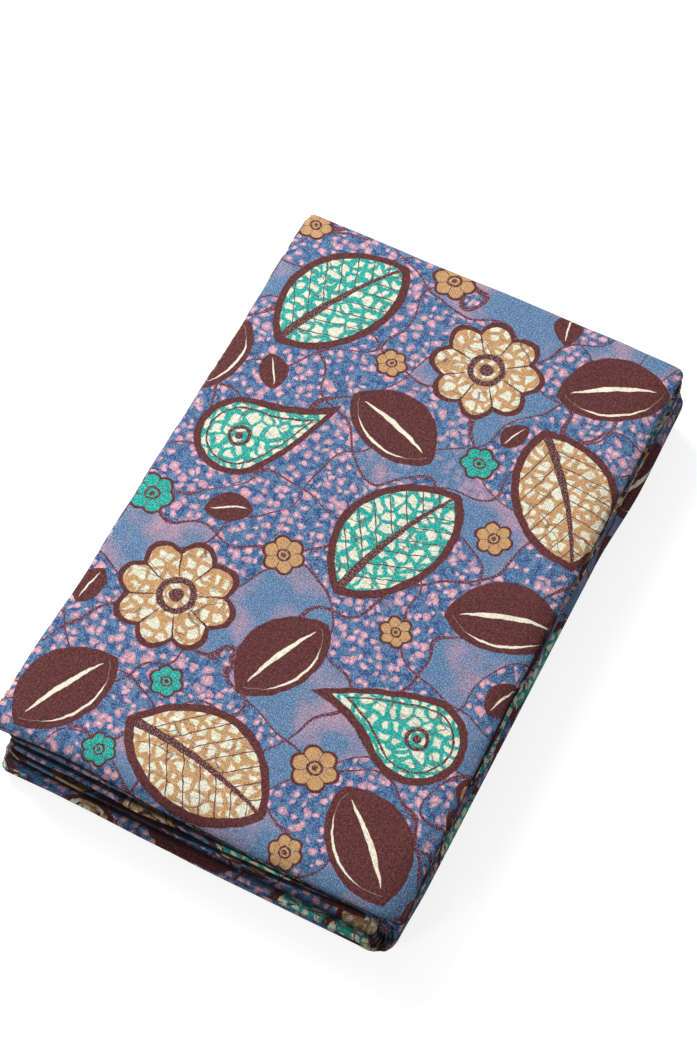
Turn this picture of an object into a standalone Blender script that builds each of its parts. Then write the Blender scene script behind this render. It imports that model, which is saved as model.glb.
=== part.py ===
"""A six-yard length of wax print cloth, folded flat into a packet that lies on its underside.

X runs along the packet's short side, Y along its long side away from the reader, Z up. The origin is
under the middle of the packet. Sizes are in metres.
"""

import math
from collections import namedtuple

import bmesh
import bpy

# Driving sizes: the packet's two sides, one ply with the air under it, and the gap between stretches
WIDTH = 0.1965
LENGTH = 0.3040
PLY = 0.000325
GAP = 0.0003

# How many plies each stretch holds, one on another: 112 in all, since the wrap lies there twice
TOP_PLIES = 10
WRAP_PLIES = 33
HIDDEN_PLIES = 36

TOP_WALL = TOP_PLIES * PLY
WRAP_WALL = WRAP_PLIES * PLY
HIDDEN_HEIGHT = HIDDEN_PLIES * PLY

# Heights of the faces that lie on each other, from the surface that the packet lies on
HIDDEN_FLOOR = WRAP_WALL + GAP
WRAP_HEIGHT = 2 * HIDDEN_FLOOR + HIDDEN_HEIGHT
TOP_UNDERSIDE = WRAP_HEIGHT + GAP

# The side wrap turns through half a circle on the right, round the hidden layers, and its spine
# swells out near the back, where it reaches the packet's full width
SPINE_RADIUS = WRAP_HEIGHT / 2
SPINE_PEAK = 0.0026
SPINE_INSET = SPINE_PEAK + SPINE_RADIUS
SPINE_CENTRE = WIDTH / 2 - SPINE_INSET

# How far the packet sinks towards its rims, as a share of its height, and over what distance
RIM_SINK = 0.040
RIM_SPAN = 0.030

# How far it swells in between, as a share of its height, and that swell's turns over each side
SWELL = 0.012
SWELL_TURNS = (9.0, 7.0)
SWELL_STARTS = (1.0, -0.6)

# Edges, as steps along the edge: the share from one end to the other, and how far the cloth keeps in
# there from the packet's full width or length
Step = namedtuple("Step", "share inset")

TOP_FRONT = (
    Step(0.00, 0.0071),
    Step(0.18, 0.0083),
    Step(0.45, 0.0055),
    Step(0.78, 0.0041),
    Step(1.00, 0.0049),
)
TOP_BACK = (Step(0.00, 0.0000), Step(0.45, 0.0007), Step(1.00, 0.0019))
TOP_LEFT = (
    Step(0.00, 0.0000),
    Step(0.35, 0.0014),
    Step(0.70, 0.0010),
    Step(1.00, 0.0002),
)
TOP_RIGHT = (
    Step(0.00, 0.0026),
    Step(0.10, 0.0042),
    Step(0.45, 0.0052),
    Step(0.75, 0.0046),
    Step(1.00, 0.0037),
)

# The side wrap's front and back run from its lower left end, round the spine, to its upper left end
WRAP_FRONT = (
    Step(0.00, 0.0033),
    Step(0.20, 0.0015),
    Step(0.40, 0.0001),
    Step(0.50, 0.0028),
    Step(0.58, 0.0054),
    Step(0.80, 0.0081),
    Step(1.00, 0.0095),
)
WRAP_BACK = (
    Step(0.00, 0.0037),
    Step(0.25, 0.0055),
    Step(0.50, 0.0067),
    Step(0.75, 0.0055),
    Step(1.00, 0.0045),
)
# How far the spine swells out, from the front to the back. It is drawn in at the front corner.
SPINE_SWELL = (
    Step(0.00, -0.0012),
    Step(0.09, -0.0002),
    Step(0.68, 0.0000),
    Step(0.84, SPINE_PEAK),
    Step(1.00, 0.0022),
)
WRAP_UPPER_LEFT = (
    Step(0.00, 0.0067),
    Step(0.30, 0.0032),
    Step(0.56, 0.0006),
    Step(0.80, 0.0027),
    Step(1.00, 0.0037),
)
WRAP_LOWER_LEFT = (
    Step(0.00, 0.0040),
    Step(0.40, 0.0054),
    Step(0.75, 0.0032),
    Step(1.00, 0.0047),
)

HIDDEN_FRONT = (
    Step(0.00, 0.0081),
    Step(0.35, 0.0065),
    Step(0.70, 0.0075),
    Step(1.00, 0.0093),
)
HIDDEN_BACK = (Step(0.00, 0.0059), Step(0.50, 0.0071), Step(1.00, 0.0082))
HIDDEN_LEFT = (
    Step(0.00, 0.0060),
    Step(0.30, 0.0046),
    Step(0.65, 0.0064),
    Step(1.00, 0.0052),
)

# How each stretch is layered. The bundles are the folds that show as noses at the front and back, and
# the leaves are the groups of plies that show at the open left edge. The rest are depths and radii.
# An open edge is rounded less than a nose, by this share of it.
OPEN_ROUND = 0.5
Layering = namedtuple("Layering", "bundles leaves nose leaf_depth corner")

TOP_LAYERING = Layering(1, 2, 0.0016, 0.0005, 0.0030)
WRAP_LAYERING = Layering(1, 4, 0.0042, 0.0010, 0.0050)
HIDDEN_LAYERING = Layering(2, 4, 0.0026, 0.0010, 0.0060)

# Where the levels of one leaf lie, and how far its rim there keeps from the groove between leaves
LEAF_LEVELS = ((0.0, 0.0), (0.22, 1.0), (0.78, 1.0))

# Cells of each stretch's grid, across and along it
TOP_CELLS = (20, 26)
LEG_CELLS = 11
SPINE_CELLS = 14
WRAP_ROWS = 18
HIDDEN_CELLS = (12, 18)

CLOTH_BLUE = (0.048, 0.155, 0.402, 1.0)
CLOTH_NAVY = (0.022, 0.052, 0.165, 1.0)
CLOTH_VIOLET = (0.190, 0.165, 0.440, 1.0)
COTTON_ROUGHNESS = 0.85


def along(steps, share):
    """The inset of an edge, or the spine's swell, at a share of its length, eased from step to step."""
    for low, high in zip(steps, steps[1:]):
        if share <= high.share:
            part = (share - low.share) / (high.share - low.share)
            part = max(0.0, part)
            eased = part * part * (3 - 2 * part)
            return low.inset + (high.inset - low.inset) * eased
    return steps[-1].inset


def round_back(part):
    """0 at the middle of a rounded rim and 1 at its two edges, for a part from 0 to 1 across it."""
    return 1 - math.sqrt(max(0.0, 1 - (2 * part - 1) ** 2))


def levels(layering):
    """The shares of the wall's thickness where its rims have a level, and whether each is proud."""
    found = [
        ((leaf + at) / layering.leaves, proud)
        for leaf in range(layering.leaves)
        for at, proud in LEAF_LEVELS
    ]
    return found + [(1.0, 0.0)]


def insets(layering, share, proud):
    """How far the noses, the leaves and the plain right rim draw in at this share of the thickness."""
    within = (share * layering.bundles) % 1.0 if share < 1 else 1.0
    nose = layering.nose * round_back(within)
    whole = layering.nose * round_back(share)
    return nose, layering.leaf_depth * (1 - proud) + OPEN_ROUND * whole, whole


def rounded(across, along_it, corner):
    """Moves a point of a square, from -1 to 1 each way, so that the corners of its outline are round."""
    over_a = max(0.0, abs(across[0]) - (across[1] - corner))
    over_b = max(0.0, abs(along_it[0]) - (along_it[1] - corner))
    if not over_a or not over_b:
        return across[0], along_it[0]
    a = over_a * math.sqrt(1 - (over_b / corner) ** 2 / 2)
    b = over_b * math.sqrt(1 - (over_a / corner) ** 2 / 2)
    return (
        math.copysign(across[1] - corner + a, across[0]),
        math.copysign(along_it[1] - corner + b, along_it[0]),
    )


def sunk(point):
    """The packet thins towards its rims and swells a little unevenly, while its underside stays flat."""
    x, y, z = point
    to_rim = min(WIDTH / 2 - abs(x), LENGTH / 2 - abs(y))
    near = max(0.0, 1 - to_rim / RIM_SPAN)
    across = math.sin(SWELL_TURNS[0] * x / WIDTH + SWELL_STARTS[0])
    lengthwise = math.cos(SWELL_TURNS[1] * y / LENGTH + SWELL_STARTS[1])
    hollow = 0.5 + 0.5 * across * lengthwise
    return x, y, z * (1 - RIM_SINK * near * near - SWELL * hollow * (1 - near))


def stack(name, cells, layering, place):
    """A stack of plies: a grid raised level by level, then set in place by its shares and insets."""
    bm = bmesh.new()
    made = bmesh.ops.create_grid(bm, x_segments=cells[0], y_segments=cells[1], size=0.5)
    faces = list({face for vert in made["verts"] for face in vert.link_faces})
    heights = levels(layering)
    for number in range(1, len(heights)):
        lower = faces
        raised = bmesh.ops.extrude_face_region(bm, geom=faces)["geom"]
        faces = [item for item in raised if isinstance(item, bmesh.types.BMFace)]
        for vert in {vert for face in faces for vert in face.verts}:
            vert.co.z = number
        if number > 1:
            bmesh.ops.delete(bm, geom=lower, context="FACES")
    bmesh.ops.recalc_face_normals(bm, faces=bm.faces)
    for vert in bm.verts:
        share, proud = heights[round(vert.co.z)]
        u, v = vert.co.x + 0.5, vert.co.y + 0.5
        vert.co = sunk(place(u, v, share, insets(layering, share, proud)))
    mesh = bpy.data.meshes.new(name)
    bm.to_mesh(mesh)
    bm.free()
    mesh.shade_smooth()
    mesh.set_sharp_from_angle(angle=math.radians(40))
    return bpy.data.objects.new(name, mesh)


def spread(u, v, edges, inset, corner):
    """The place on a flat panel between its four edges, each drawn in further by the level's inset."""
    front, back, left, right = edges
    low_y = along(front, u) + inset[0] - LENGTH / 2
    high_y = LENGTH / 2 - along(back, u) - inset[0]
    low_x = along(left, v) + inset[1] - WIDTH / 2
    high_x = WIDTH / 2 - along(right, v) - inset[2]
    half_x, half_y = (high_x - low_x) / 2, (high_y - low_y) / 2
    x, y = rounded(((2 * u - 1) * half_x, half_x), ((2 * v - 1) * half_y, half_y), corner)
    return (high_x + low_x) / 2 + x, (high_y + low_y) / 2 + y


def place_top(u, v, share, inset):
    edges = (TOP_FRONT, TOP_BACK, TOP_LEFT, TOP_RIGHT)
    x, y = spread(u, v, edges, inset, TOP_LAYERING.corner)
    return x, y, TOP_UNDERSIDE + share * TOP_WALL


def place_hidden(u, v, share, inset):
    right = (Step(0.0, SPINE_INSET), Step(1.0, SPINE_INSET))
    edges = (HIDDEN_FRONT, HIDDEN_BACK, HIDDEN_LEFT, right)
    x, y = spread(u, v, edges, (inset[0], inset[1], 0.0), HIDDEN_LAYERING.corner)
    # The right rim is a half circle that fits inside the spine.
    radius = HIDDEN_HEIGHT / 2
    if u == 1.0:
        x += radius * math.sqrt(max(0.0, 1 - (2 * share - 1) ** 2))
    return x, y, HIDDEN_FLOOR + share * HIDDEN_HEIGHT


def place_wrap(u, v, share, inset):
    """The share of the wall runs from its outer face inwards, and u from the lower left end round
    the spine to the upper left end."""
    cells = 2 * LEG_CELLS + SPINE_CELLS
    column = u * cells
    leg = min(column, cells - column) / LEG_CELLS
    y_low = along(WRAP_FRONT, u) + inset[0] - LENGTH / 2
    y_high = LENGTH / 2 - along(WRAP_BACK, u) - inset[0]
    y = y_low + v * (y_high - y_low)
    depth = share * WRAP_WALL
    if leg >= 1:
        turn = math.pi * (column - LEG_CELLS) / SPINE_CELLS
        radius = SPINE_RADIUS - depth
        # The plies part where the spine swells, so its inner face still fits the hidden layers.
        swell = along(SPINE_SWELL, v) * (1 - share)
        x = SPINE_CENTRE + (radius + swell) * math.sin(turn)
        return x, y, SPINE_RADIUS - radius * math.cos(turn)
    upper = column > cells / 2
    end = along(WRAP_UPPER_LEFT if upper else WRAP_LOWER_LEFT, v) + inset[1] - WIDTH / 2
    x = end + leg * (SPINE_CENTRE - end)
    corner = WRAP_LAYERING.corner
    half = (y_high - y_low) / 2
    middle = (y_high + y_low) / 2
    from_spine = x - SPINE_CENTRE
    from_spine, y = rounded((from_spine, SPINE_CENTRE - end), (y - middle, half), corner)
    z = WRAP_HEIGHT - depth if upper else depth
    return SPINE_CENTRE + from_spine, middle + y, z


def finish(name, colour):
    """Plain woven cotton in one colour."""
    material = bpy.data.materials.new(name)
    material.use_nodes = True
    shader = material.node_tree.nodes["Principled BSDF"]
    shader.inputs["Base Color"].default_value = colour
    shader.inputs["Roughness"].default_value = COTTON_ROUGHNESS
    shader.inputs["Metallic"].default_value = 0.0
    return material


for old in list(bpy.data.objects):
    bpy.data.objects.remove(old, do_unlink=True)

packet = bpy.data.collections.new("folded_wax_print")
bpy.context.scene.collection.children.link(packet)

wrap_cells = (2 * LEG_CELLS + SPINE_CELLS, WRAP_ROWS)
top_panel = stack("top_panel", TOP_CELLS, TOP_LAYERING, place_top)
side_wrap = stack("side_wrap", wrap_cells, WRAP_LAYERING, place_wrap)
hidden_layers = stack("hidden_layers", HIDDEN_CELLS, HIDDEN_LAYERING, place_hidden)

top_panel.data.materials.append(finish("printed_face", CLOTH_BLUE))
side_wrap.data.materials.append(finish("shaded_folds", CLOTH_NAVY))
hidden_layers.data.materials.append(finish("inner_plies", CLOTH_VIOLET))

for piece in (top_panel, side_wrap, hidden_layers):
    packet.objects.link(piece)
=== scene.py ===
"""Looks of a folded packet of wax print cloth: its folds and ply edges, its print and weave, light and
camera. X runs across the packet to its spine, Y along it away from its front, Z up, in metres."""

import math
from collections import namedtuple
from functools import partial

import bmesh
import bpy
import numpy as np
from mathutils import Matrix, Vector, noise


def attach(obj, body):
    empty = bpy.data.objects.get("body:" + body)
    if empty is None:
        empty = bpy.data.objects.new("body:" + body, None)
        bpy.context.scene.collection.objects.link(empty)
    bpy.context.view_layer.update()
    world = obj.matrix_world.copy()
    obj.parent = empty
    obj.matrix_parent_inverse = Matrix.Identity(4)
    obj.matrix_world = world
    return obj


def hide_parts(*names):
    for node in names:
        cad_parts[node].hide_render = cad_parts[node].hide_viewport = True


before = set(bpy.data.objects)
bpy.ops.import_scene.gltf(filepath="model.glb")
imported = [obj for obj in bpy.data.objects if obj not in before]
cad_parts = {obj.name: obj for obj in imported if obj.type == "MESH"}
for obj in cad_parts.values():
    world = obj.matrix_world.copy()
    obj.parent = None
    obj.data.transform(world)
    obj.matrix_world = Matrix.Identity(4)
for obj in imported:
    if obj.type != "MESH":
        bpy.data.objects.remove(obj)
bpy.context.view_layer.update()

# The top fold is the cloth's uppermost stretch, ten plies of wax-printed cotton laid back on each other
# by hand, with noses at the front and back, a crease on the right and open edges on the left. Nothing
# is cut or sewn. This is its outer ply, a thin shell over the top, round the folds and underneath.
WIDTH = 0.1965
LENGTH = 0.3040
PLY = 0.000325
COTTON = 0.00025
GAP = 0.0003
WRAP_WALL = 33 * PLY
HIDDEN_HEIGHT = 36 * PLY
HIDDEN_FLOOR = WRAP_WALL + GAP
WRAP_HEIGHT = 2 * HIDDEN_FLOOR + HIDDEN_HEIGHT
SPINE_RADIUS = WRAP_HEIGHT / 2
SPINE_PEAK = 0.0026
SPINE_CENTRE = WIDTH / 2 - SPINE_PEAK - SPINE_RADIUS

# Each edge of a fold is a row of steps, a share of its length and how far in from the packet's edge it
# lies there. Seams lie at shares of the wall, which is the fold's height. The noses have shade painted on
# below one share of the wall, which differs at the front and the back, and above another.
Seam = namedtuple("Seam", "share depth round_spine")
Shade = namedtuple("Shade", "front back above")
Fold = namedtuple(
    "Fold", "front back left right floor wall nose corner leaves leaf_depth seams stray turns shade"
)
TOP = Fold(
    front=((0, 0.0078), (0.18, 0.0091), (0.45, 0.0064), (0.78, 0.005), (0.94, 0.0051), (1, 0.0074)),
    back=((0, 0), (0.45, 0.0007), (1, 0.0019)),
    left=((0, 0), (0.35, 0.0014), (0.7, 0.001), (1, 0.0002)),
    right=((0, 0.0026), (0.1, 0.0042), (0.45, 0.0052), (0.75, 0.0046), (1, 0.0037)),
    floor=WRAP_HEIGHT + GAP, wall=10 * PLY,
    nose=0.0016, corner=0.003, leaves=2, leaf_depth=0.0005,
    seams=(Seam(0.44, 0.0004, 0.0),),
    stray=0.0006, turns=16, shade=Shade(front=0.8, back=0.25, above=2),
)
TOP_CELLS = (96, 150)
TOUCH = 1e-3

# Unevenness: how fast it changes along and across a piece, and a seed with a share of the fold's floor
Grain = namedtuple("Grain", "along across seed by_floor")
WEAR_GRAIN = Grain(9.0, 3.7, 0.0, 700)
STRAY_GRAIN = Grain(7.0, 1.7, 0.0, 900)
WANDER_GRAIN = Grain(11.0, 0.9, 5.0, 500)
RUMPLE_GRAIN = Grain(55, 40, 3.0, 0)
FINE_GRAIN = Grain(140, 110, 3.0, 0)
EDGE_GRAIN = Grain(38, 5.3, 2.0, 0)


def uneven(grain, along, across, floor=0.0):
    """Smooth uneven numbers, from -1 to 1, one for each place."""
    seed = grain.seed + grain.by_floor * floor
    places = np.broadcast(along * grain.along, across * grain.across, seed)
    return np.array([noise.noise(Vector(place)) for place in places])


def eased(steps, share):
    """The inset of an edge at shares of its length, eased from one step to the next."""
    shares, insets = (np.array(row) for row in zip(*steps))
    part = np.interp(share, shares, np.arange(len(shares)))
    low = np.minimum(part.astype(int), len(shares) - 2)
    rest = part - low
    return insets[low] + (insets[low + 1] - insets[low]) * rest * rest * (3 - 2 * rest)


def front_edge(fold, u):
    """Where a fold's front edge lies along Y, at shares of its length."""
    return eased(fold.front, u) - LENGTH / 2


def cornered(across, half_across, along, half_along, radius):
    """Draws points of a rectangle in towards its round corners."""
    over_a = np.maximum(0, abs(across) - half_across + radius)
    over_b = np.maximum(0, abs(along) - half_along + radius)
    a = over_a * np.sqrt(np.maximum(0, 1 - (over_b / radius) ** 2 / 2))
    b = over_b * np.sqrt(np.maximum(0, 1 - (over_a / radius) ** 2 / 2))
    return across + np.sign(across) * (a - over_a), along + np.sign(along) * (b - over_b)


# The open edges: how much of a leaf its groove takes, and how round the whole edge is
LEAF_GROOVE = 0.22
OPEN_ROUND = 0.5


def edge_in(fold, share):
    """How far the open edges draw in: in grooves between leaves, and in one round edge."""
    within = (share * fold.leaves) % 1.0
    groove = np.interp(within, (0, LEAF_GROOVE, 1 - LEAF_GROOVE, 1), (1, 0, 0, 1))
    rounding = 1 - np.sqrt(np.maximum(0, 1 - (2 * share - 1) ** 2))
    return fold.leaf_depth * groove + OPEN_ROUND * fold.nose * rounding


def rows_round(fold):
    """The share of the wall at each row of a nose. A row runs along the bottom of every seam."""
    rows = 0.5 - 0.5 * np.cos(np.pi * np.linspace(0, 1, fold.turns + 1))
    for seam in fold.seams:
        rows[abs(rows - seam.share).argmin()] = seam.share
    return rows


# The noses: how wide, worn and sharp a seam is, on the flat and round the spine, how deep one is whose
# painted shade is black, how softly the painted shade on the noses ends, and how far a layer's edge
# wanders up and down
SEAM_WIDTH = 0.00045
SEAM_WEAR = 0.9
SEAM_SHARP = 1.5
SPINE_SOFT = 0.9
FULL_SHADE_SEAM = 0.0009
SHADE_BLUR = 0.16
WANDER = 0.10


def section(fold, u, v, turn, depth, creased=True, spine=0.0):
    """The share of the wall, the draw of a nose and the shade painted there, where turn goes round it from
    0 to 1 at a depth. Seams part its layers, and each layer strays a little along it. Shade is painted on
    the noses below and above set shares of the wall, and along the seams."""
    radius = 1 - 2 * depth / fold.wall
    row = np.interp(turn * fold.turns, np.arange(fold.turns + 1), rows_round(fold))
    share = 0.5 + radius * (row - 0.5)
    draw_in = fold.nose * (1 - radius * np.sin(np.pi * turn))
    rim = np.sin(np.pi * turn) > TOUCH
    along = u + v
    at_nose = (v < TOUCH) | (v > 1 - TOUCH) | (u * creased > 1 - TOUCH)
    # Painted shade on the noses below one share of the wall and above another
    shaded_to = np.where(v < 0.5, fold.shade.front, fold.shade.back)
    below = (shaded_to - share) / SHADE_BLUR + 0.5
    above = (share - fold.shade.above) / SHADE_BLUR + 0.5
    painted_shade = at_nose * np.clip(np.maximum(below * (1 - spine), above), 0, 1)
    for number, seam in enumerate(fold.seams):
        worn = 1 + SEAM_WEAR * uneven(WEAR_GRAIN, along, number, fold.floor)
        deep = (seam.depth + seam.round_spine * spine) * worn
        away = abs(share - seam.share) * fold.wall / SEAM_WIDTH
        draw_in += rim * deep * np.exp(-away)
        sharp = SEAM_SHARP - SPINE_SOFT * spine
        # Painted shade along each seam, darker as the seam is deeper
        painted_shade += rim * np.clip(deep / FULL_SHADE_SEAM, 0, 1) * np.exp(-sharp * away)
    layer = row * (len(fold.seams) + 1)
    stray = uneven(STRAY_GRAIN, along, layer, fold.floor)
    wander = uneven(WANDER_GRAIN, along, layer, fold.floor)
    share = share + rim * WANDER * wander * np.sin(np.pi * row)
    return share, draw_in + fold.stray * rim * stray, np.clip(painted_shade, 0, 1)


# The painted shade under an edge that juts out: its strength at the edge, its slope inwards and its soft end
JUT_SHADE = 1.45
JUT_SLOPE = 1.5
JUT_BLUR = 0.0018


def under(edge, y, depth):
    """How much shade is painted at a depth below a fold whose front edge juts out over it."""
    return np.clip(JUT_SHADE - (depth - JUT_SLOPE * (y - edge)) / JUT_BLUR, 0, 1)


# The packet's own sag: the share that its rims sink and how far in, and the dips in between: their
# share, and their waves across and along the packet
RIM_SINK = 0.040
RIM_SPAN = 0.030
SWELL = 0.012
SWELL_ACROSS = (9.0, 1.0)
SWELL_ALONG = (7.0, -0.6)


def sunk(x, y, z):
    """The packet thins towards its rims and dips a little in between, on a flat underside."""
    to_rim = np.minimum(WIDTH / 2 - abs(x), LENGTH / 2 - abs(y))
    near = np.maximum(0, 1 - to_rim / RIM_SPAN)
    across = np.sin(SWELL_ACROSS[0] * x / WIDTH + SWELL_ACROSS[1])
    along = np.cos(SWELL_ALONG[0] * y / LENGTH + SWELL_ALONG[1])
    dip = 0.5 + 0.5 * across * along
    return z * (1 - RIM_SINK * near * near - SWELL * dip * (1 - near))


def lay_flat(fold, u, v, turn, depth):
    """Where points of a flat fold lie: u from its open edge, v from its front, turn from its underside."""
    share, draw_in, painted_shade = section(fold, u, v, turn, depth)
    low_y = eased(fold.front, u) + draw_in - LENGTH / 2
    high_y = LENGTH / 2 - eased(fold.back, u) - draw_in
    low_x = eased(fold.left, v) + edge_in(fold, share) - WIDTH / 2
    high_x = WIDTH / 2 - eased(fold.right, v) - draw_in
    half_x, half_y = (high_x - low_x) / 2, (high_y - low_y) / 2
    x, y = cornered((2 * u - 1) * half_x, half_x, (2 * v - 1) * half_y, half_y, fold.corner)
    x, y = x + (high_x + low_x) / 2, y + (high_y + low_y) / 2
    return x, y, fold.floor + share * fold.wall, painted_shade, share


def spread_flat(fold, u, v, share):
    """A flat fold's printed face, the same for each layer."""
    x, y, *_ = lay_flat(fold, u, v, np.ones_like(u), np.zeros_like(u))
    return x, y


# The top fold's droop over the spine, in shares of its radius: everywhere, in the front half and at the
# front right corner, and how far out it goes
DROOP = 0.22
FRONT_DROOP = 0.14
FRONT_SPAN = 0.05
CORNER_DROOP = 0.32
CORNER_X, CORNER_WIDTH = 0.092, 0.016
CORNER_Y, CORNER_LENGTH = -0.146, 0.024
SHOULDER = 0.9


def drooped(x, y):
    """How far the top fold sinks over the round of the spine, most at its front corner."""
    over = np.clip((x - SPINE_CENTRE) / SPINE_RADIUS, 0, SHOULDER)
    corner = np.exp(-(((x - CORNER_X) / CORNER_WIDTH) ** 2) - ((y - CORNER_Y) / CORNER_LENGTH) ** 2)
    front = 0.5 - 0.5 * np.tanh(y / FRONT_SPAN)
    share = DROOP + FRONT_DROOP * front + CORNER_DROOP * corner
    return share * SPINE_RADIUS * (1 - np.sqrt(1 - over**2))


# The top face: its rumples, the roll of its front nose and the shade painted along it, and soft ridges and
# troughs from and to a point
RUMPLE = 0.00030
FINE_RUMPLE = 0.4
FRONT_ROLL = ((0, 0.0024), (0.35, 0.003), (0.7, 0.0029), (0.9, 0.002), (1, 0.001))
ROLL_SPAN = 0.0038
ROLL_BELOW = 0.5
ROLL_SHADE = 0.42
Crease = namedtuple("Crease", "x0 y0 x1 y1 width lift")
TOP_CREASES = (
    Crease(-0.09, 0.06, -0.02, 0.04, 0.011, 0.0005),
    Crease(-0.03, 0.12, 0.07, 0.06, 0.014, -0.0005),
    Crease(0.01, -0.02, 0.088, 0.01, 0.01, 0.0005),
    Crease(-0.08, -0.06, 0.01, -0.02, 0.013, -0.0004),
    Crease(0, -0.09, 0.08, -0.11, 0.012, 0.0005),
    Crease(-0.06, -0.136, 0.06, -0.136, 0.006, 0.0004),
    Crease(0.086, -0.12, 0.086, 0.12, 0.005, 0.0004),
    Crease(-0.04, 0, -0.05, 0.14, 0.016, 0.0004),
)


def lay_top(u, v, turn, depth):
    """Where points of the top fold lie, with its rumples, creases, rolled nose and droop."""
    x, y, z, painted_shade, share = lay_flat(TOP, u, v, turn, depth)
    lift = RUMPLE * (uneven(RUMPLE_GRAIN, x, y) + FINE_RUMPLE * uneven(FINE_GRAIN, x, y))
    for crease in TOP_CREASES:
        start = np.array((crease.x0, crease.y0))
        run = np.array((crease.x1, crease.y1)) - start
        from_start = np.stack((x, y), axis=-1) - start
        part = np.clip(from_start @ run / (run @ run), 0, 1)
        away = np.linalg.norm(from_start - part[:, None] * run, axis=1)
        lift += crease.lift * np.exp(-((away / crease.width) ** 2))
    near_front = np.exp(-(y - front_edge(TOP, u)) / ROLL_SPAN)
    roll = eased(FRONT_ROLL, u) * near_front * (ROLL_BELOW + (1 - ROLL_BELOW) * share)
    z = sunk(x, y, z) + lift * share - roll - drooped(x, y)
    # Painted shade along the rolled front nose, fading inwards over the roll's span
    return x, y, z, np.maximum(painted_shade, ROLL_SHADE * near_front)


def points_in(made):
    """The vertices among what a bmesh operator made."""
    return [part for part in made["geom"] if isinstance(part, bmesh.types.BMVert)]


def lies_at(part, at):
    """Whether a face or an edge lies at one end of the unit block."""
    return all(abs(vert.co.x - at) < TOUCH for vert in part.verts)


def blank_fold(cells, turns, open_ends, lips):
    """A fold on a unit block: a grid, its copy over it and the rims round them, cut open at the ends
    named. X and Y run from 0 to 1 over the cloth and Z is the turn. A lip, one unit further out, is the
    cut edge of the cloth."""
    bm = bmesh.new()
    bmesh.ops.create_grid(bm, x_segments=cells[0], y_segments=cells[1], size=0.5)
    bmesh.ops.translate(bm, verts=bm.verts, vec=(0.5, 0.5, 0.0))
    raised = bmesh.ops.extrude_face_region(bm, geom=bm.faces[:])
    bmesh.ops.translate(bm, verts=points_in(raised), vec=(0, 0, 1))
    rims = [edge for edge in bm.edges if abs(edge.verts[0].co.z - edge.verts[1].co.z) > 0.5]
    bmesh.ops.subdivide_edges(bm, edges=rims, cuts=turns - 1, use_grid_fill=True)
    bmesh.ops.recalc_face_normals(bm, faces=bm.faces)
    ends = [face for face in bm.faces if any(lies_at(face, at) for at in open_ends)]
    bmesh.ops.delete(bm, geom=ends, context="FACES")
    for at in lips:
        rim = [edge for edge in bm.edges if edge.is_boundary and lies_at(edge, at)]
        lip = bmesh.ops.extrude_edge_only(bm, edges=rim)
        bmesh.ops.translate(bm, verts=points_in(lip), vec=(2 * at - 1, 0, 0))
    return bm


# The print's charted repeat: each sort of motif, its places across and along the cloth, with its turn
# in degrees and its size. Lengths are in millimetres.
Motif = namedtuple("Motif", "x y turn size kind ink")
REPEAT = (240, 330)
MILLIMETRES = 1000
LEAF, DROP, FLOWER = 1, 2, 3
DARK, TEAL, TAN = 0, 1, 2
CHARTED = {
    (LEAF, TEAL): ((-62, 112, 60, 37), (16, 10, 68, 37), (119, 101, 78, 28), (110, -140, 80, 24)),
    (LEAF, TAN): ((72, 62, -56, 36), (-10, -122, -12, 37), (18, 168, 8, 22)),
    (LEAF, DARK): (
        (-10, 62, -20, 25), (75, -4, 18, 26), (-2, -62, 66, 25), (68, -122, -46, 27),
        (-77, -116, 62, 26), (70, 123, 28, 26), (-100, 62, 80, 23), (40, 82, 65, 8),
        (-72, 64, -60, 10), (-56, -8, 25, 11), (90, -38, 70, 10), (-92, -68, 80, 10),
        (38, 146, 100, 10), (116, -26, 84, 21), (-60, 171, -24, 22),
    ),
    (DROP, TEAL): ((-58, 32, 24, 33), (54, -66, 158, 34)),
    (DROP, TAN): ((121, 27, 108, 23),),
    (FLOWER, TEAL): (
        (32, 62, 20, 9), (-90, -16, 0, 11), (-40, -94, 0, 8), (-50, -134, 0, 8), (64, 166, -40, 10),
    ),
    (FLOWER, TAN): (
        (14, 108, 10, 27), (-56, -56, 0, 28), (-20, 146, 0, 11), (-26, 92, 0, 8), (54, 30, 0, 9),
        (-24, -18, 0, 10), (36, -30, 0, 8), (34, -102, 0, 11), (40, -140, 0, 8), (-92, 146, 0, 9),
        (113, -86, 30, 24),
    ),
}
CHART = [Motif(*place, *sort) for sort, places in CHARTED.items() for place in places]

# Outlines of the three motifs, drawn for a motif one unit long from its middle to its tip
LEAF_HALF = 0.66
LEAF_ROUND = (1 + LEAF_HALF**2) / (2 * LEAF_HALF)
LEAF_BEND = 0.10
DROP_ROUND = 0.62
DROP_BACK = 0.38
DROP_TAPER = DROP_ROUND / (1 + DROP_BACK)
DROP_LEAN = math.sqrt(1 - DROP_TAPER**2)
DROP_BEND = 0.30
DROP_BENDS_FROM = 0.35
PETAL_ROOT = 0.80
PETAL_TIP = 0.20
PETAL_PAIRS = 3
LARGE = 15


def inside_motif(motif, u, v):
    """How far inside a motif points of its own unit square lie, in millimetres."""
    if motif.kind == LEAF:
        v = v - LEAF_BEND * (0.5 - u * u)
        depth = LEAF_ROUND - np.sqrt(u * u + (abs(v) + LEAF_ROUND - LEAF_HALF) ** 2)
    elif motif.kind == DROP:
        v = v - DROP_BEND * np.maximum(0, u + DROP_BENDS_FROM) ** 2
        body = u + DROP_BACK
        ball = np.hypot(body, v)
        cone = DROP_LEAN * abs(v) + DROP_TAPER * body
        depth = DROP_ROUND - np.where(DROP_LEAN * body > DROP_TAPER * abs(v), cone, ball)
    else:
        pairs = PETAL_PAIRS + (motif.size > LARGE)
        depth = PETAL_ROOT + PETAL_TIP * abs(np.cos(pairs * np.arctan2(v, u))) - np.hypot(u, v)
    return depth * motif.size


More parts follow.
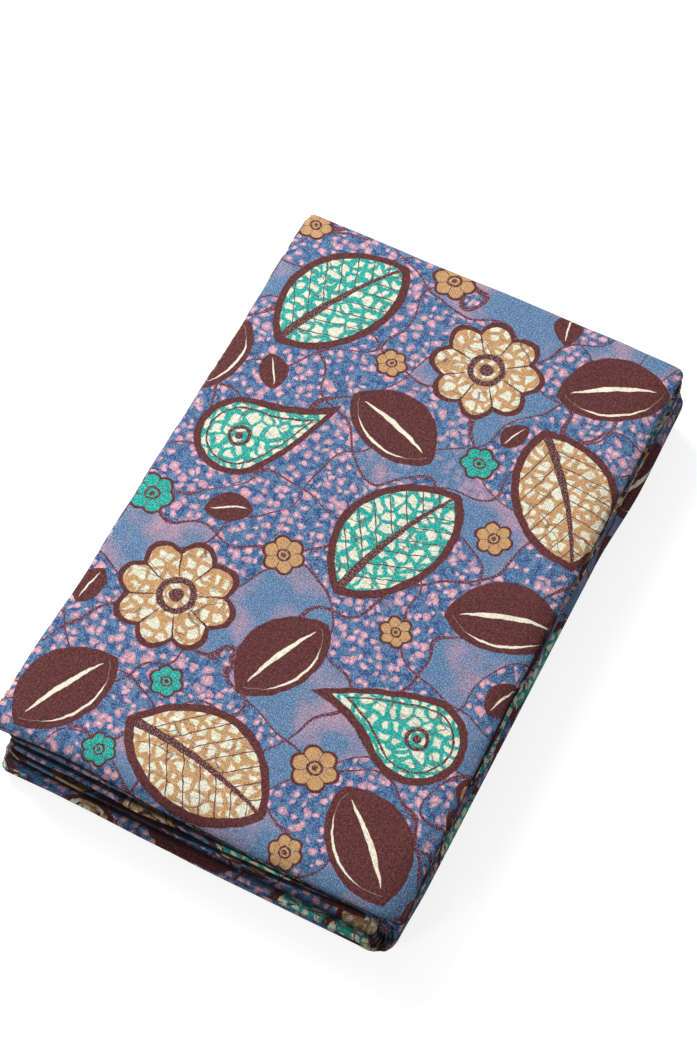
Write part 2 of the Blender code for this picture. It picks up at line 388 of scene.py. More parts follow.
def chart_print(mesh, cloth):
    """Gives every face the motif nearest to it, and its corners their places on that motif."""
    middle = cloth.mean(axis=1) * MILLIMETRES
    nearest = np.full(len(middle), -np.inf)
    stamp = np.zeros_like(cloth)
    marks = np.zeros((len(middle), 3))
    for motif in CHART:
        angle = math.radians(motif.turn)
        turned = np.array(((math.cos(angle), -math.sin(angle)), (math.sin(angle), math.cos(angle))))
        centre = np.array((motif.x, motif.y))
        repeat = centre + np.round((middle - centre) / REPEAT) * REPEAT
        local = (middle - repeat) @ turned / motif.size
        depth = inside_motif(motif, local[:, 0], local[:, 1])
        closer = depth > nearest
        nearest[closer] = depth[closer]
        stamp[closer] = ((cloth[closer] * MILLIMETRES - repeat[closer, None]) @ turned) / motif.size
        marks[closer] = (motif.kind, motif.size, motif.ink)
    mesh.uv_layers.new(name="cloth").data.foreach_set("uv", cloth.ravel())
    mesh.uv_layers.new(name="stamp").data.foreach_set("uv", stamp.ravel())
    mesh.attributes.new("motif", "FLOAT_VECTOR", "FACE").data.foreach_set("vector", marks.ravel())


class Dye:
    """A value, vector or colour on its way through a material's nodes. Sums of values read as sums."""

    def __init__(self, tree, socket=None):
        self.tree = tree
        self.socket = socket

    def node(self, kind, settings=(), sockets=(), output=0):
        """Adds a node: its settings first, then the values or links of its sockets."""
        made = self.tree.nodes.new("ShaderNode" + kind)
        for setting, value in dict(settings).items():
            setattr(made, setting, value)
        for socket, value in dict(sockets).items():
            if isinstance(value, Dye):
                self.tree.links.new(value.socket, made.inputs[socket])
            else:
                made.inputs[socket].default_value = value
        return Dye(self.tree, made.outputs[output])

    def math(self, operation, *values, clamp=False):
        return self.node("Math", {"operation": operation, "use_clamp": clamp}, enumerate(values))

    def __add__(self, other):
        return self.math("ADD", self, other)

    __radd__ = __add__

    def __sub__(self, other):
        return self.math("SUBTRACT", self, other)

    def __rsub__(self, other):
        return self.math("SUBTRACT", other, self)

    def __mul__(self, other):
        return self.math("MULTIPLY", self, other)

    __rmul__ = __mul__

    def __truediv__(self, other):
        return self.math("DIVIDE", self, other)

    def __rtruediv__(self, other):
        return self.math("DIVIDE", other, self)

    def __pow__(self, power):
        return self.math("POWER", self, power)

    def __abs__(self):
        return self.math("ABSOLUTE", self)

    def over(self, edge, blur):
        """1 where this value is over the edge and 0 under it, blurred across it."""
        return self.math("MULTIPLY_ADD", self - edge, 1 / blur, 0.5, clamp=True)

    def under(self, edge, blur):
        return 1 - self.over(edge, blur)

    def line(self, at, half, blur):
        """1 on a line at a value, half its width to each side, and 0 off it."""
        return abs(self - at).under(half, blur)

    def equals(self, number):
        return self.math("COMPARE", self, number, 0.5)

    def at_least(self, low):
        return self.math("MAXIMUM", self, low)

    def from_middle(self):
        """How far this value is from the middle between two whole numbers."""
        return abs(self.math("FRACT", self) - 0.5)

    def dyed(self, low, high):
        """A colour from low, where this value is 0, to high, where it is 1."""
        return self.node("Mix", {"data_type": "RGBA"}, {0: self, 6: low, 7: high}, output=2)

    def parts(self):
        """The three numbers of a vector or colour."""
        outputs = self.node("SeparateXYZ", (), {0: self}).socket.node.outputs
        return [Dye(self.tree, socket) for socket in outputs]

    def moved(self, by):
        return self.node("VectorMath", {"operation": "ADD"}, {0: self, 1: by})

    def scaled(self, factor):
        return self.node("VectorMath", {"operation": "SCALE"}, {0: self, 3: factor})

    def stretched(self, across, along):
        return self.node("Mapping", (), {"Vector": self, "Scale": (across, along, 1)})

    def clouds(self, scale, detail=2.0, output=0):
        """Blender's noise on these coordinates: a value, or a colour from output 1."""
        settings = {"noise_dimensions": "2D"}
        return self.node("TexNoise", settings, {"Vector": self, "Scale": scale, "Detail": detail}, output)

    def drift(self, scale, detail=2.0):
        """A vector about zero that wanders over these coordinates."""
        return self.clouds(scale, detail, output=1).moved((-0.5, -0.5, -0.5))

    def cells(self, feature, scale, output=0, randomness=0.9):
        """Blender's cells on these coordinates: the distance to an edge or centre, or their colour."""
        settings = {"voronoi_dimensions": "2D", "feature": feature}
        sockets = {"Vector": self, "Scale": scale, "Randomness": randomness}
        return self.node("TexVoronoi", settings, sockets, output)


def ink(red, green, blue):
    """A colour for the shader, from its values on a screen from 0 to 255."""
    screen = [value / 255 for value in (red, green, blue)]
    return tuple(c / 12.92 if c <= 0.04045 else ((c + 0.055) / 1.055) ** 2.4 for c in screen) + (1.0,)


# The dyes. Where there are two, the colour varies from one to the other.
BROWNS = ink(77, 32, 34), ink(103, 51, 50)
TAN_DYE = ink(188, 144, 94)
TEAL_DYE = ink(0, 160, 148)
CREAM_PEBBLES = ink(220, 218, 196)
CREAM_LINES = ink(232, 222, 200)
CRACKS = ink(84, 62, 58)
BLUES = ink(29, 71, 126), ink(82, 121, 158)
PINKS = ink(206, 147, 161), ink(158, 126, 151)
PINK_HEART = ink(222, 182, 188)
CALM_AND_ROSY = ink(84, 119, 156), ink(178, 138, 156)
MAROON = ink(96, 46, 64)
PALE_THREAD_AND_HIGHLIGHT = ink(206, 206, 202)
DARK_PIT_AND_SHADE = ink(40, 38, 58)

# The motifs' lines: where they lie, half their width and their blur, in millimetres, or on a flower in
# shares of it. Clouds, cells and pebbles here and below are counted to a metre.
STAMP_BLUR = 0.2
WAVER, WAVER_CLOUDS = 1.4, 170
OUTLINE, OUTLINE_GROWTH = 0.5, 0.085
RIB, RIB_TAPER, RIB_BLUR = 0.040, 0.022, 0.25
VEINS, VEIN_SLANT, VEIN_EDGE = 4.2, 0.8, 0.462
DROP_LINE = (2.6, 0.45, 0.2)
EYE_RING = (4.6, 0.9, 0.2)
EYE = (2.0, 0.3)
PETAL_SPLIT = (0.10, 0.05)
HEART, HEART_RING, HEART_DOT = 0.34, (0.27, 0.055, 0.02), 0.12
BRIGHT_RIB, BRIGHT_END, BRIGHT_TAPER = 0.075, 0.74, 0.60
CRESCENT, CRESCENT_HALF, CRESCENT_TAPER = 3.2, 1.5, 0.40
SOFT = 0.02
BROWN_CLOUDS = 800

# The pebbles, how thick the dye runs round them, and the wax cracks: what bends them, how drawn out and
# wide they are, where they lie and how strong they show
PEBBLES, PEBBLE_WAVER, PEBBLE_BLUR = 165, 0.005, 0.08
DYE_CLOUDS, THINNEST, THICKER = 90, 0.05, 0.26
PEBBLE_REACH = (0.60, 0.14)
STRAIN, STRAIN_CLOUDS = 0.016, 45
CRACK_STRETCH = (42, 150)
CRACK, CRACK_CLOUDS, CRACKED, CRACK_STRENGTH = 0.022, 60, (0.47, 0.10), 0.75


def fill_motif(cloth, crackled, large, teal):
    """The inside of a light motif: cream pebbles between tan or teal in the large ones. Wax cracks across
    as the cloth is worked, and lets fine dark lines through."""
    thin = cloth.clouds(DYE_CLOUDS)
    pebble = crackled.cells("DISTANCE_TO_EDGE", PEBBLES).over(THINNEST + THICKER * thin, PEBBLE_BLUR)
    pebble = pebble * crackled.cells("F1", PEBBLES).under(*PEBBLE_REACH)
    fill = teal.dyed(TAN_DYE, TEAL_DYE)
    fill = (pebble * large).dyed(fill, CREAM_PEBBLES)
    strained = cloth.moved(cloth.drift(STRAIN_CLOUDS).scaled(STRAIN)).stretched(*CRACK_STRETCH)
    cracked = strained.cells("DISTANCE_TO_EDGE", 1.0).under(CRACK, SOFT)
    cracked = cracked * cloth.clouds(CRACK_CLOUDS, 1).over(*CRACKED)
    return (cracked * large * CRACK_STRENGTH).dyed(fill, CRACKS)


# The ground: how its lines flow and slant, the metres between them and how thin they are, then the size
# of the dots in shares of a cell, their colours, and how much is rosy or undotted
FLOW, FLOW_CLOUDS = 0.085, 13
FIRST_X, FIRST_Y, FIRST_GAP, FIRST_EDGE = 0.83, 0.56, 0.030, (0.482, 0.007)
SECOND_X, SECOND_Y, SECOND_GAP, SECOND_EDGE = 0.42, 0.91, 0.038, (0.486, 0.006)
FINE_CLOUDS, FINE_EDGE = 210, 0.010
DOTS, DOT_SCATTER = 205, 0.80
DOT, DOT_WIDER, DOT_RAGGED, DOT_BLUR = 0.245, 0.19, 0.10, 0.09
DOTS_LEFT_OUT, PINK_SPREAD, HEART_OF_DOT = (0.10, 0.05), (0.5, 0.9), (0.13, 0.12)
BLUE_CLOUDS, BLUE_SPREAD = 330, (0.5, 0.35)
ROSY_CLOUDS, ROSY, ROSIER, ROSY_BLUR = 34, 0.66, 0.08, 0.30
UNDOTTED = 0.30


def dotted_ground(cloth, crackled):
    """The blue ground: two families of long flowing maroon lines part it into patches, most of them
    dotted in pink and the rest calm, with a rosy glow."""
    across, along, _ = cloth.moved(cloth.drift(FLOW_CLOUDS).scaled(FLOW)).parts()
    first = (across * FIRST_X - along * FIRST_Y) / FIRST_GAP
    second = (across * SECOND_X + along * SECOND_Y) / SECOND_GAP
    fine = cloth.clouds(FINE_CLOUDS)
    first_lines = first.from_middle().over(FIRST_EDGE[0] - FINE_EDGE * fine, FIRST_EDGE[1])
    second_lines = second.from_middle().over(SECOND_EDGE[0] - FINE_EDGE * fine, SECOND_EDGE[1])
    patch = cloth.node("CombineXYZ", (), {0: cloth.math("FLOOR", first), 1: cloth.math("FLOOR", second)})
    chance = patch.node("TexWhiteNoise", {"noise_dimensions": "2D"}, {"Vector": patch}, output=1)
    chosen, glow, _ = chance.parts()

    near = crackled.cells("F1", DOTS, randomness=DOT_SCATTER)
    tint, kept, wide = crackled.cells("F1", DOTS, output=1, randomness=DOT_SCATTER).parts()
    dot = near.under(DOT + DOT_WIDER * wide + DOT_RAGGED * (fine - 0.5), DOT_BLUR)
    dot = dot * kept.over(*DOTS_LEFT_OUT)
    pink = tint.over(*PINK_SPREAD).dyed(*PINKS)
    pink = near.under(*HEART_OF_DOT).dyed(pink, PINK_HEART)
    dotted = dot.dyed(cloth.clouds(BLUE_CLOUDS).over(*BLUE_SPREAD).dyed(*BLUES), pink)
    calm = cloth.clouds(ROSY_CLOUDS).over(ROSY - ROSIER * glow, ROSY_BLUR).dyed(*CALM_AND_ROSY)
    ground = chosen.over(UNDOTTED, SOFT).dyed(calm, dotted)
    return cloth.math("MAXIMUM", first_lines, second_lines).dyed(ground, MAROON)


# The weave: how far apart threads are and how far they drift, slubs and specks, the tone of the cloth and
# how dark the shade painted in its folds goes, and its pale dots and dark pits, which are partly pale and
# dark threads and partly painted highlight and shade on the risen threads
THREAD, THREAD_DRIFT, DRIFT_CLOUDS = 0.0012, 0.0017, 260
SLUB_LENGTH, SLUB_WIDTH = 160, 1500
SPECKS = 1300
CLOTH_SHADE, THREAD_SHADE, SLUB_SHADE, PAINTED_SHADE_STRENGTH = 0.44, 0.16, 0.54, 0.95
THREAD_RISE, SPECK_RISE = 0.62, 3.4
RISEN, RISEN_BLUR = 0.56, 0.40
PALE, PITTED = 0.24, 0.30


def weave(cloth, printed, specks_and_painted_light):
    """The printed colour on uneven threads over and under each other, with a pale dot where a thread
    rises and a dark pit beside it, partly pale and dark threads and partly painted highlight and shade,
    darkened by the shade painted in the folds, and the height of the threads."""
    threads = cloth.moved(cloth.drift(DRIFT_CLOUDS, 3).scaled(THREAD_DRIFT))
    weft_at, warp_at, _ = threads.scaled(2 * math.pi / THREAD).parts()
    woven = cloth.math("SINE", weft_at) * cloth.math("SINE", warp_at)
    slubs = cloth.stretched(SLUB_WIDTH, SLUB_LENGTH).clouds(1.0, 1)
    slubs = slubs + cloth.stretched(SLUB_LENGTH, SLUB_WIDTH).clouds(1.0, 1)
    specks = cloth.clouds(SPECKS, 0)
    painted_shade = cloth.node("Attribute", {"attribute_name": "painted_shade"}, output=2)
    # Painted shade: the print is darkened where the noses, seams, grooves and gaps between folds lie in
    # shade
    shade = (CLOTH_SHADE + THREAD_SHADE * woven + SLUB_SHADE * slubs) * (1 - PAINTED_SHADE_STRENGTH * painted_shade)
    settings = {"data_type": "RGBA", "blend_type": "MULTIPLY"}
    printed = cloth.node("Mix", settings, {0: 1.0, 6: printed, 7: shade}, output=2)
    # Where threads rise, pale dots are painted as a highlight, and dark pits beside them as painted shade;
    # random specks among them stand for pale and dark threads
    raised = THREAD_RISE * woven + SPECK_RISE * (specks - 0.5)
    bare = specks_and_painted_light * (1 - painted_shade)
    printed = (raised.over(RISEN, RISEN_BLUR) * bare * PALE).dyed(printed, PALE_THREAD_AND_HIGHLIGHT)
    printed = (raised.under(-RISEN, RISEN_BLUR) * bare * PITTED).dyed(printed, DARK_PIT_AND_SHADE)
    return printed, 0.6 * woven + slubs + 0.4 * specks


def wax_print(name):
    """Wax-printed cotton, dyed through: leaves, drops and flowers on a dotted blue ground."""
    material = bpy.data.materials.new(name)
    material.use_nodes = True
    tree = material.node_tree
    start = Dye(tree)
    cloth = start.node("UVMap", {"uv_map": "cloth"})
    stamp = start.node("UVMap", {"uv_map": "stamp"})
    kind, size, colour = start.node("Attribute", {"attribute_name": "motif"}, output=1).parts()
    dark = colour.under(0.5, 0.1)
    large = size.over(LARGE, 0.1)

    # Hand-cut stamps waver by a few tenths of a millimetre.
    waver = cloth.drift(WAVER_CLOUDS, 3)
    crackled = cloth.moved(waver.scaled(PEBBLE_WAVER))
    x, y, _ = stamp.moved(waver.scaled(WAVER / size)).parts()

    leaf_y = y - LEAF_BEND * (0.5 - x * x)
    leaf = LEAF_ROUND - (x * x + (abs(leaf_y) + (LEAF_ROUND - LEAF_HALF)) ** 2) ** 0.5

    tail = (x + DROP_BENDS_FROM).at_least(0.0)
    drop_y = abs(y - DROP_BEND * tail * tail)
    body = x + DROP_BACK
    ball = (body * body + drop_y * drop_y) ** 0.5
    cone = DROP_LEAN * drop_y + DROP_TAPER * body
    past = start.math("GREATER_THAN", DROP_LEAN * body, DROP_TAPER * drop_y)
    drop = DROP_ROUND - (ball + past * (cone - ball))

    spoke = (x * x + y * y) ** 0.5
    petal = abs(start.math("COSINE", start.math("ARCTAN2", y, x) * (PETAL_PAIRS + large)))
    flower = PETAL_ROOT + PETAL_TIP * petal - spoke

    is_leaf, is_drop, is_flower = (kind.equals(shape) for shape in (LEAF, DROP, FLOWER))
    inside = (leaf * is_leaf + drop * is_drop + flower * is_flower) * size
    outline = OUTLINE + OUTLINE_GROWTH * size
    stamped = inside.over(0.0, STAMP_BLUR)
    filled = inside.over(outline, STAMP_BLUR)

    # Inside each motif: a midrib and veins, a ringed eye, or petals round a dotted heart.
    rib = abs(leaf_y) * size
    ribbed = rib.under(size * (RIB - RIB_TAPER * x), RIB_BLUR)
    veined = ((x - VEIN_SLANT * abs(leaf_y)) * VEINS).from_middle().over(VEIN_EDGE, SOFT)
    ringed = (inside - outline).line(*DROP_LINE)
    from_eye = ball * size
    eyed = from_eye.line(*EYE_RING) + from_eye.under(*EYE)
    split = petal.under(*PETAL_SPLIT) * spoke.over(HEART, SOFT)
    heart = spoke.line(*HEART_RING) + spoke.under(HEART_DOT, SOFT)
    drawn = is_leaf * (ribbed + veined) + is_drop * (ringed + eyed) + is_flower * (split + heart)
    drawn = start.math("MINIMUM", drawn, 1.0, clamp=True)

    # Dark motifs carry a cream midrib and crescent.
    slim = (BRIGHT_TAPER - x * x).at_least(0.0)
    bright_rib = rib.under(size * BRIGHT_RIB * slim, RIB_BLUR)
    bright_rib = bright_rib * x.over(-BRIGHT_END, SOFT) * x.under(BRIGHT_END, SOFT)
    half = CRESCENT_HALF * (CRESCENT_TAPER - x * x).at_least(0.0)
    crescent = inside.line(CRESCENT, half, STAMP_BLUR)
    crescent = crescent * leaf_y.under(0.0, SOFT) * large
    bright = start.math("ADD", bright_rib, crescent, clamp=True)

    brown = cloth.clouds(BROWN_CLOUDS).over(0.55, 0.40).dyed(*BROWNS)
    light_fill = drawn.dyed(fill_motif(cloth, crackled, large, colour.equals(TEAL)), brown)
    motif = dark.dyed(light_fill, bright.dyed(brown, CREAM_LINES))
    motif = (filled + dark * bright * (1 - filled)).dyed(brown, motif)
    printed = stamped.dyed(dotted_ground(cloth, crackled), motif)
    # How strongly the weave's painted highlights and shade, with its specks, show: less on dark motifs and
    # outlines
    specks_and_painted_light = 1 - 0.8 * stamped * (filled * dark + (1 - filled))
    printed, height = weave(cloth, printed, specks_and_painted_light)

    cotton = tree.nodes["Principled BSDF"]
    bump = start.node("Bump", (), {"Strength": 0.35, "Distance": 0.0002, "Height": height})
    tree.links.new(printed.socket, cotton.inputs["Base Color"])
    tree.links.new(bump.socket, cotton.inputs["Normal"])
    cotton.inputs["Roughness"].default_value = 0.80
    cotton.inputs["Specular IOR Level"].default_value = 0.18
    cotton.inputs["Sheen Weight"].default_value = 0.05
    return material


wax_cotton = wax_print("wax_cotton")

# A deep seam parts two layers of the print, which moves on from one to the next and from ply to ply. The
# plies' open edges stray.
LAYER_SEAM = 0.0010
LAYER_SHIFT = np.array((0.071, 0.047))
PLY_SHIFT = np.array((0.037, 0.053))
EDGE_STRAY = 0.0011
SHARP = math.radians(60)


def rolled_out(unit, u, corners, ply, spread_out, fold, main_turn, shift):
    """The cloth's own coordinates at the corners of each face. They run on from the printed face, which
    is at main_turn, round the noses, and shift says which stretch of the print lies there."""
    v, turn = unit[:, 1], unit[:, 2]
    middle = unit[corners].mean(axis=1)
    rows = np.interp(middle[:, 2] * fold.turns, np.arange(fold.turns + 1), rows_round(fold))
    deep = [abs(seam.share - main_turn) for seam in fold.seams if seam.depth > LAYER_SEAM]
    parted = np.array([0.0] + sorted(deep) + [1.0])
    layer = np.clip(np.searchsorted(parted, abs(rows - main_turn)) - 1, 0, len(parted) - 2)
    layer[middle[:, 2] % 1.0 == 0] = 0
    middles = (parted[1:] + parted[:-1]) / 2
    middles[0] = 0.0
    laid = np.empty((*corners.shape, 2))
    for number, share in enumerate(middles):
        spread = np.stack(spread_out(u, v, share), axis=-1)
        laid[layer == number] = spread[corners[layer == number]]

    arc = math.pi * math.sqrt((fold.nose**2 + fold.wall**2 / 4) / 2)
    away = (abs(turn - main_turn) * arc)[corners]
    at_front = middle[:, 1] < TOUCH
    at_back = middle[:, 1] > 1 - TOUCH
    at_crease = (abs(middle[:, 0] - 1) < TOUCH) & ~at_front & ~at_back
    far_side = (abs(middle[:, 2] - main_turn) > 1 - TOUCH) & ~at_front & ~at_back
    laid[:, :, 0] += at_crease[:, None] * away
    laid[:, :, 1] += (at_back * 1.0 - at_front * 1.0)[:, None] * away
    laid[far_side, :, 1] = -LENGTH - laid[far_side, :, 1]
    laid += np.array(shift) + ply[corners][:, :, None] * PLY_SHIFT
    laid += layer[:, None, None] * LAYER_SHIFT
    return laid


def lay_cloth(name, bm, lay, spread_out, fold, main_turn, shift):
    """Lays a unit fold in place by the function lay, and prints it as spread_out rolls it out."""
    plies = bm.verts.layers.float.get("ply") is not None
    mesh = bpy.data.meshes.new(name)
    bm.to_mesh(mesh)
    bm.free()
    unit = np.empty(len(mesh.vertices) * 3)
    mesh.vertices.foreach_get("co", unit)
    unit = unit.reshape(-1, 3)
    ply = np.zeros(len(unit))
    if plies:
        mesh.attributes["ply"].data.foreach_get("value", ply)
    low_lip, high_lip = unit[:, 0] < -0.5, unit[:, 0] > 1.5
    u = unit[:, 0] + low_lip - high_lip
    x, y, z, painted_shade = lay(u, unit[:, 1], unit[:, 2], ply * PLY + (low_lip | high_lip) * COTTON)
    if plies:
        x += EDGE_STRAY * uneven(EDGE_GRAIN, y, ply)
    mesh.vertices.foreach_set("co", np.stack((x, y, z), axis=-1).ravel())
    # Painted shade from 0 to 1, kept on the mesh for the material to darken the print by
    mesh.attributes.new("painted_shade", "FLOAT", "POINT").data.foreach_set("value", painted_shade)
    corners = np.empty(len(mesh.loops), np.int32)
    mesh.loops.foreach_get("vertex_index", corners)
    corners = corners.reshape(-1, 4)
    chart_print(mesh, rolled_out(unit, u, corners, ply, spread_out, fold, main_turn, shift))
    mesh.materials.append(wax_cotton)
    mesh.shade_smooth()
    mesh.set_sharp_from_angle(angle=SHARP)
    mesh.update()
    piece = bpy.data.objects.new(name, mesh)
    bpy.context.scene.collection.objects.link(piece)
    return piece


spread_top = partial(spread_flat, TOP)
top_shell = blank_fold(TOP_CELLS, TOP.turns, open_ends=(0,), lips=(0,))
top_fold = lay_cloth("top_fold", top_shell, lay_top, spread_top, TOP, main_turn=1, shift=(0.0, 0.0))
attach(top_fold, "root")
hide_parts("top_panel")

# The side wrap is the stretch under the top fold, thirty-three plies that turn down round the right side
# and run back underneath, folded by hand. This is its outer ply: the second and the lowest nose at the
# front, the rounded spine and the underside that the packet lies on.
WRAP = Fold(
    front=(
        (0, 0.0033), (0.2, 0.0015), (0.4, 0.0001), (0.5, 0.0028), (0.58, 0.0054), (0.8, 0.0081), (1, 0.0095),
    ),
    back=((0, 0.0037), (0.25, 0.0055), (0.5, 0.006), (0.63, 0.0026), (0.75, 0.0048), (1, 0.0045)),
    left=((0, 0.0067), (0.3, 0.0032), (0.56, 0.0006), (0.8, 0.0027), (1, 0.0037)),
    right=((0, 0.004), (0.4, 0.0054), (0.75, 0.0032), (1, 0.0047)),
    floor=0.0, wall=WRAP_WALL,
    nose=0.0042, corner=0.005, leaves=4, leaf_depth=0.001,
    seams=(
        Seam(0.17, 0.0002, 0.0015), Seam(0.36, 0.0004, 0.0018), Seam(0.53, 0.0011, 0.0012),
        Seam(0.69, 0.0004, 0.0018), Seam(0.85, 0.0005, 0.0014),
    ),
    stray=0.0016, turns=46, shade=Shade(front=0.07, back=0.07, above=0.94),
)
WRAP_CELLS = (190, 120)

# Each leg takes a share of the way from the lower open edge to the upper one, and the spine, which has
# more of the columns, takes the rest.
LEG_SHARE = 11 / 36
WRAP_COLUMNS = ((0, 0.26, 0.74, 1), (0, LEG_SHARE, 1 - LEG_SHARE, 1))

# The spine's swell along it, and its grooves, by their place round it and their depth. A groove wavers
# twice over: how far, in how many waves, and how much later than the groove before.
SPINE_SWELL = ((0, -0.0012), (0.09, -0.0002), (0.68, 0), (0.84, SPINE_PEAK), (1, 0.0022))
SPINE_GROOVES = ((0.34, 0.0008), (0.5, 0.0007), (0.62, 0.0011), (0.72, 0.0014), (0.82, 0.0012))
GROOVE_WIDTH = 0.011
GROOVE_WAVERS = ((0.020, 5.0, 2.1), (0.008, 17.0, 1.0))

# Painted shade in the grooves, round the front of the spine and in the wedge under the top fold's crease,
# the wedge's height, and the front edges of the top and inner folds, whose shade is painted on the noses
# under them
GROOVE_SHADE = 0.7
SPINE_SHADE = 0.85
WEDGE_SHADE = 0.80
WEDGE = 0.0026
TOP_JUT = 0.0010
HIDDEN_FRONTS = (
    ((0, 0.0073), (0.35, 0.0058), (0.7, 0.0071), (1, 0.0093)),
    ((0, 0.0087), (0.35, 0.007), (0.7, 0.0079), (1, 0.0097)),
)


def lay_wrap(u, v, turn, depth):
    """u runs from the lower open edge round the spine to the upper one, and turn from the outside in."""
    bend = np.clip((u - LEG_SHARE) / (1 - 2 * LEG_SHARE), 0, 1)
    angle = np.pi * bend
    share, draw_in, painted_shade = section(WRAP, u, v, turn, depth, creased=False, spine=np.sin(angle))
    low_y = eased(WRAP.front, u) + draw_in - LENGTH / 2
    high_y = LENGTH / 2 - eased(WRAP.back, u) - draw_in
    middle, half = (high_y + low_y) / 2, (high_y - low_y) / 2
    y = low_y + v * (high_y - low_y)

    radius = SPINE_RADIUS - share * WRAP.wall
    swell = eased(SPINE_SWELL, v) * (1 - share)
    for number, (place, deep) in enumerate(SPINE_GROOVES):
        waver = sum(far * np.sin(waves * v + later * number) for far, waves, later in GROOVE_WAVERS)
        within = np.exp(-abs(bend - place - waver) / GROOVE_WIDTH)
        swell -= (1 - share) * deep * within
        painted_shade = np.maximum(painted_shade, GROOVE_SHADE * within)

    upper = u > 0.5
    leg = np.minimum(u, 1 - u) / LEG_SHARE
    on_leg = leg < 1
    end = np.where(upper, eased(WRAP.left, v), eased(WRAP.right, v)) + edge_in(WRAP, share) - WIDTH / 2
    reach = SPINE_CENTRE - end
    across, along = cornered((leg - 1) * reach, reach, y - middle, half, WRAP.corner)
    x = np.where(on_leg, SPINE_CENTRE + across, SPINE_CENTRE + (radius + swell) * np.sin(angle))
    z_leg = np.where(upper, WRAP_HEIGHT - share * WRAP.wall, share * WRAP.wall)
    z = np.where(on_leg, z_leg, SPINE_RADIUS - radius * np.cos(angle))
    y = np.where(on_leg, middle + along, y)

    from_left = np.clip((x + WIDTH / 2) / (SPINE_CENTRE + WIDTH / 2), 0, 1)
    # Painted shade on the front noses under the jutting edges, and round the front of the spine
    below_top = under(front_edge(TOP, x / WIDTH + 0.5) - TOP_JUT, y, share * WRAP.wall)
    below_inner = under(eased(HIDDEN_FRONTS[0], from_left) - LENGTH / 2, y, (1 - share) * WRAP.wall)
    round_spine = SPINE_SHADE * np.sin(angle) * np.clip(4 * share, 0, 1)
    dark = np.where(on_leg, np.where(upper, below_top, below_inner), round_spine)
    painted_shade = np.maximum(painted_shade, dark * (v < TOUCH))
    # Painted shade in the wedge under the crease, darker nearer the top fold
    to_top = sunk(x, y, z) - sunk(x, y, TOP.floor) + drooped(x, y)
    in_wedge = upper & ~on_leg & (share < 0.5)
    painted_shade = np.maximum(painted_shade, WEDGE_SHADE * np.exp(to_top / WEDGE) * in_wedge)
    return x, y, sunk(x, y, z), painted_shade


def lay_wrap_shell(u, v, turn, depth):
    return lay_wrap(np.interp(u, *WRAP_COLUMNS), v, turn, depth)


def spread_path(path, v, share):
    """The wrap's cloth rolled out: on from its upper leg, round the spine and along its lower leg, for a
    layer at a share of the wall."""
    x, y, *_ = lay_wrap(path, v, np.zeros_like(path), np.zeros_like(path))
    turned = (1 - LEG_SHARE - path) / (1 - 2 * LEG_SHARE)
    half_round = math.pi * (SPINE_RADIUS - share * WRAP.wall)
    round_it = SPINE_CENTRE + half_round * turned
    lower = 2 * SPINE_CENTRE + half_round - x
    return np.where(turned < 0, x, np.where(turned > 1, lower, round_it)), y


def spread_wrap(u, v, share):
    return spread_path(np.interp(u, *WRAP_COLUMNS), v, share)


wrap_shell = blank_fold(WRAP_CELLS, WRAP.turns, open_ends=(0, 1), lips=(0, 1))
side_fold = lay_cloth("side_fold", wrap_shell, lay_wrap_shell, spread_wrap, WRAP, 0, (0.061, 0.118))
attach(side_fold, "root")
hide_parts("side_wrap")

# The loose plies are the wrap's uppermost ones, folded by hand a little short of the spine. They fill the
# wedge between the spine's shoulder and the crease above it, and stick out unevenly along it.
LOOSE = Fold(
    front=((0, 0.013), (1, 0.015)),
    back=((0, 0.006), (1, 0.004)),
    left=((0, 0.1862), (1, 0.1862)),
    right=TOP.right,
    floor=0.0, wall=2 * PLY,
    nose=0.0005, corner=0.002, leaves=1, leaf_depth=0.0,
    seams=(),
    stray=0.0, turns=6, shade=Shade(front=-1, back=-1, above=2),
)
LOOSE_CELLS = (8, 150)
Loose = namedtuple("Loose", "level out uneven shift")
LOOSE_PLIES = (
    Loose(0.20, 0.0011, 0.0014, (0.031, 0.150)),
    Loose(0.45, 0.0006, 0.0017, (0.158, 0.052)),
    Loose(0.72, 0.0001, 0.0019, (0.083, 0.236)),
)
OUT_GRAIN = Grain(42, 3.1, 8.0, 0)
RIPPLE_GRAIN = Grain(60, 2.3, 1.0, 0)
RIPPLE = 0.0005
LOOSE_FRONT_END, LOOSE_BACK_END = 4, 14
LOOSE_SHOULDER = 0.88
LOOSE_CLEAR = 0.0002


def lay_loose(number, loose, u, v, turn, depth):
    """Where points of a loose ply lie, at its level between the spine and the top fold."""
    x, y, z, *_ = lay_flat(LOOSE, u, v, turn, depth)
    from_ends = np.minimum(1, np.minimum(LOOSE_FRONT_END * v, LOOSE_BACK_END * (1 - v)))
    x = x + u * u * from_ends * (loose.out + loose.uneven * uneven(OUT_GRAIN, y, number))
    shoulder = np.clip((x - SPINE_CENTRE) / SPINE_RADIUS, 0, LOOSE_SHOULDER)
    low = SPINE_RADIUS + (SPINE_RADIUS + LOOSE_CLEAR) * np.sqrt(1 - shoulder**2)
    high = TOP.floor - drooped(x, y) - LOOSE.wall
    z = sunk(x, y, low + (high - low) * loose.level + z) + RIPPLE * u * uneven(RIPPLE_GRAIN, y, number)
    # Painted shade: the higher a loose ply lies in the wedge under the crease, the darker
    return x, y, z, np.full_like(x, loose.level**2)


